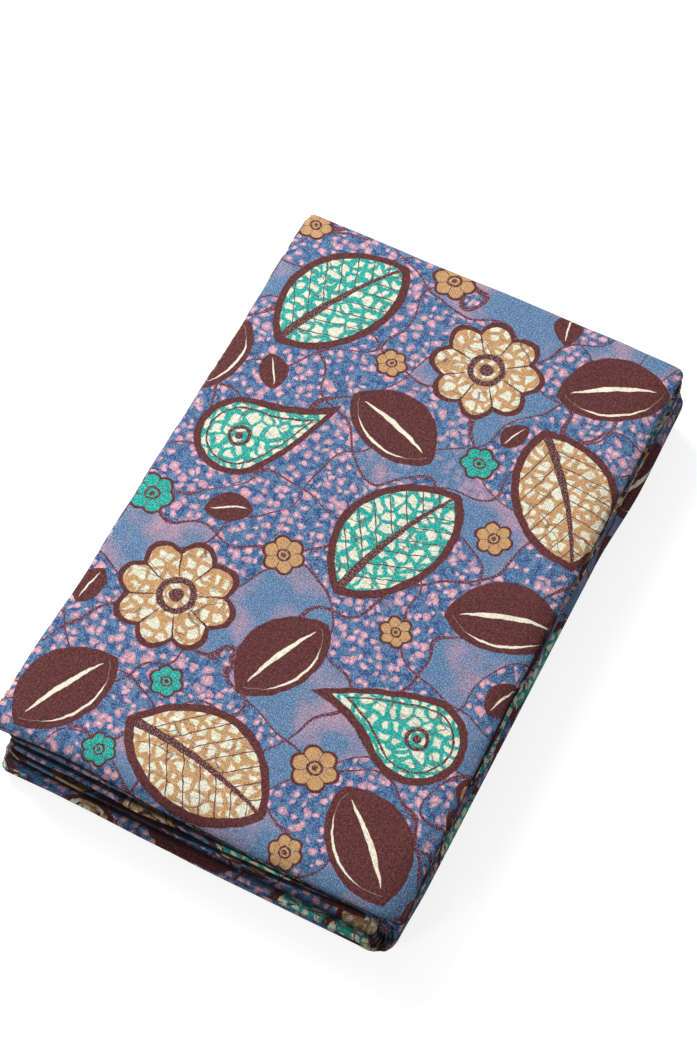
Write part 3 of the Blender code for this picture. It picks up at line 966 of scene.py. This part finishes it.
loose_plies = []
for number, loose in enumerate(LOOSE_PLIES):
    shell = blank_fold(LOOSE_CELLS, LOOSE.turns, open_ends=(0,), lips=())
    lay = partial(lay_loose, number, loose)
    spread_loose = partial(spread_flat, LOOSE)
    piece = lay_cloth(f"loose_ply_{number + 1}", shell, lay, spread_loose, LOOSE, 1, loose.shift)
    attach(piece, "root")
    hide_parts("side_wrap")
    loose_plies.append(piece)

# The inner folds are the plies that the side wrap goes round, eighteen in each of two bundles folded
# flat. Their outer plies show as two noses in the middle of the front and back, and on the left.
INNER_REACH = 0.0046
INNER_RIGHT = WIDTH / 2 - SPINE_CENTRE - INNER_REACH
BUNDLE = HIDDEN_HEIGHT / 2
INNER = Fold(
    front=HIDDEN_FRONTS[0],
    back=((0, 0.0059), (0.5, 0.0071), (1, 0.0082)),
    left=((0, 0.006), (0.3, 0.0046), (0.65, 0.0064), (1, 0.0052)),
    right=((0, INNER_RIGHT), (1, INNER_RIGHT)),
    floor=HIDDEN_FLOOR, wall=BUNDLE,
    nose=0.0026, corner=0.006, leaves=2, leaf_depth=0.001,
    seams=(Seam(0.50, 0.0005, 0.0),),
    stray=0.0014, turns=22, shade=Shade(front=0.08, back=0.08, above=0.92),
)
INNER_CELLS = (60, 110)


def lay_inner(fold, u, v, turn, depth):
    """Where points of an inner fold lie, with shade painted under what juts out over its front."""
    x, y, z, painted_shade, _ = lay_flat(fold, u, v, turn, depth)
    from_left = (x + WIDTH / 2) / (SPINE_CENTRE + WIDTH / 2)
    under_wrap = fold.floor > HIDDEN_FLOOR
    above = front_edge(WRAP, 1 - LEG_SHARE * from_left) if under_wrap else front_edge(fold, u)
    jut = under(above, y, fold.floor + fold.wall - z)
    return x, y, sunk(x, y, z), np.maximum(painted_shade, jut * (v < TOUCH))


inner_folds = []
for number, (side, front) in enumerate(zip(("lower", "upper"), HIDDEN_FRONTS)):
    inner = INNER._replace(front=front, floor=HIDDEN_FLOOR + number * BUNDLE)
    shell = blank_fold(INNER_CELLS, inner.turns, open_ends=(0,), lips=(0,))
    lay, spread_inner = partial(lay_inner, inner), partial(spread_flat, inner)
    shift = (0.093 + 0.052 * number, 0.041 + 0.127 * number)
    piece = lay_cloth("inner_fold_" + side, shell, lay, spread_inner, inner, 1, shift)
    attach(piece, "root")
    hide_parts("hidden_layers")
    inner_folds.append((piece, inner, lay, spread_inner))

# The plies inside each fold are the rest of the same cloth, laid one in another like sleeves. Only their
# open left edges show, so each is a band a little way in, with its edge a few tenths out of line.
BAND_WIDTH = 0.014
FOLD_WIDTH = 0.19
BAND = BAND_WIDTH / FOLD_WIDTH
BAND_CELLS = (3, 76)
BAND_TURNS = 10


def open_plies(name, count, end, reach, lay, spread_out, fold, main_turn, shift):
    """The plies inside a fold at its open end, 0 or 1. The count takes in its outer ply, made already."""
    band = blank_fold(BAND_CELLS, BAND_TURNS, open_ends=(0, 1), lips=(end,))
    sleeve = bpy.data.meshes.new("sleeve")
    band.to_mesh(sleeve)
    band.free()
    plies = bmesh.new()
    layer = plies.verts.layers.float.new("ply")
    for number in range(1, count):
        first = len(plies.verts)
        plies.from_mesh(sleeve)
        plies.verts.ensure_lookup_table()
        for vert in plies.verts[first:]:
            vert[layer] = number
    bpy.data.meshes.remove(sleeve)

    def lay_band(u, v, turn, depth):
        return lay(end + reach * (u - end), v, turn, depth)

    def spread_band(u, v, share):
        return spread_out(end + reach * (u - end), v, share)

    piece = lay_cloth(name, plies, lay_band, spread_band, fold, main_turn, shift)
    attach(piece, "root")
    return piece


top_plies = open_plies("top_plies", 5, 0, BAND, lay_top, spread_top, TOP, 1, (0.02, 0.03))
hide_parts("top_panel")
wrap_plies = []
for side, end in (("lower", 0), ("upper", 1)):
    name = "side_plies_" + side
    piece = open_plies(name, 17, end, BAND * LEG_SHARE, lay_wrap, spread_path, WRAP, 0, (0.11, 0.05))
    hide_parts("side_wrap")
    wrap_plies.append(piece)
for folded, inner, lay, spread_inner in inner_folds:
    name = folded.name.replace("fold", "plies")
    piece = open_plies(name, 9, 0, BAND, lay, spread_inner, inner, 1, (0.07, 0.09))
    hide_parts("hidden_layers")

# The camera stands where the photo's did, a little over a metre from the packet, high up in front of it
# to the right, and looks down through a long lens. Place and lens were fitted to the packet's corners.
ELEVATION = math.radians(60.2)
AZIMUTH = math.radians(26.7)
camera_data = bpy.data.cameras.new("camera")
camera_data.lens = 86.12
camera_data.sensor_width = 36.0
camera_data.clip_start = 0.05
camera_data.clip_end = 20.0
camera = bpy.data.objects.new("camera", camera_data)
camera.location = (0.2373, -0.4749, 0.9829)
camera.rotation_euler = (math.pi / 2 - ELEVATION, 0.0, AZIMUTH)
bpy.context.scene.collection.objects.link(camera)
bpy.context.scene.camera = camera

# The studio: a plain pale floor with a round wall far off that both glow, as a lit table does, one large
# soft light from the back left, weak ones from above, low at the front and low on the right, and the
# upper half of the room. The floor and wall send no light into the folds.
STUDIO = 2.6
FLOOR_DROP = 0.0002
GLOW_NEAR = (0.84, 0.84, 0.84, 1.0)
WHITE = (1.0, 1.0, 1.0, 1.0)
FLOOR_GREY = (0.22, 0.22, 0.22, 1.0)
ROOM_LIGHT = 0.13
floor_mesh = bpy.data.meshes.new("floor")
bm = bmesh.new()
bmesh.ops.create_circle(bm, cap_ends=True, segments=96, radius=STUDIO)
bmesh.ops.translate(bm, verts=bm.verts, vec=(0.0, 0.0, -FLOOR_DROP))
wall = bmesh.ops.extrude_edge_only(bm, edges=bm.edges[:])
bmesh.ops.translate(bm, verts=points_in(wall), vec=(0, 0, STUDIO))
bm.to_mesh(floor_mesh)
bm.free()
floor = bpy.data.objects.new("floor", floor_mesh)
floor.visible_diffuse = False
floor.visible_glossy = False
floor.visible_shadow = False
bpy.context.scene.collection.objects.link(floor)
pale = bpy.data.materials.new("pale_floor")
pale.use_nodes = True
lit_table = pale.node_tree.nodes["Principled BSDF"]
lit_table.inputs["Base Color"].default_value = FLOOR_GREY
lit_table.inputs["Roughness"].default_value = 0.9
lit_table.inputs["Emission Strength"].default_value = 1.0
across, along, up = Dye(pale.node_tree).node("TexCoord", output=3).parts()
far = (across * across + along * along + up * up) ** 0.5
glow = far.over(0.9, 1.0).dyed(GLOW_NEAR, WHITE)
pale.node_tree.links.new(glow.socket, lit_table.inputs["Emission Color"])
floor_mesh.materials.append(pale)

Lamp = namedtuple("Lamp", "name place size watts")
AIM = Vector((0.0, 0.0, 0.02))
for lamp in (
    Lamp("key", (-1.05, 0.75, 1.15), 0.8, 36.5),
    Lamp("top", (-0.3, 0.5, 1.8), 0.9, 5.0),
    Lamp("fill", (-0.45, -1.15, 0.75), 0.35, 7.4),
    Lamp("bounce", (1.0, 0.05, 0.30), 0.8, 3.2),
):
    data = bpy.data.lights.new(lamp.name, "AREA")
    data.size = lamp.size
    data.energy = lamp.watts
    light = bpy.data.objects.new(lamp.name, data)
    light.location = lamp.place
    light.rotation_euler = (AIM - Vector(lamp.place)).to_track_quat("-Z", "Y").to_euler()
    bpy.context.scene.collection.objects.link(light)

world = bpy.data.worlds.new("studio")
world.use_nodes = True
_, _, height = Dye(world.node_tree).node("TexCoord").parts()
room = world.node_tree.nodes["Background"]
room.inputs["Color"].default_value = WHITE
world.node_tree.links.new((height.over(0.1, 0.4) * ROOM_LIGHT).socket, room.inputs["Strength"])
bpy.context.scene.world = world
bpy.context.scene.view_settings.view_transform = "Standard"

wrap_plies + loose_plies
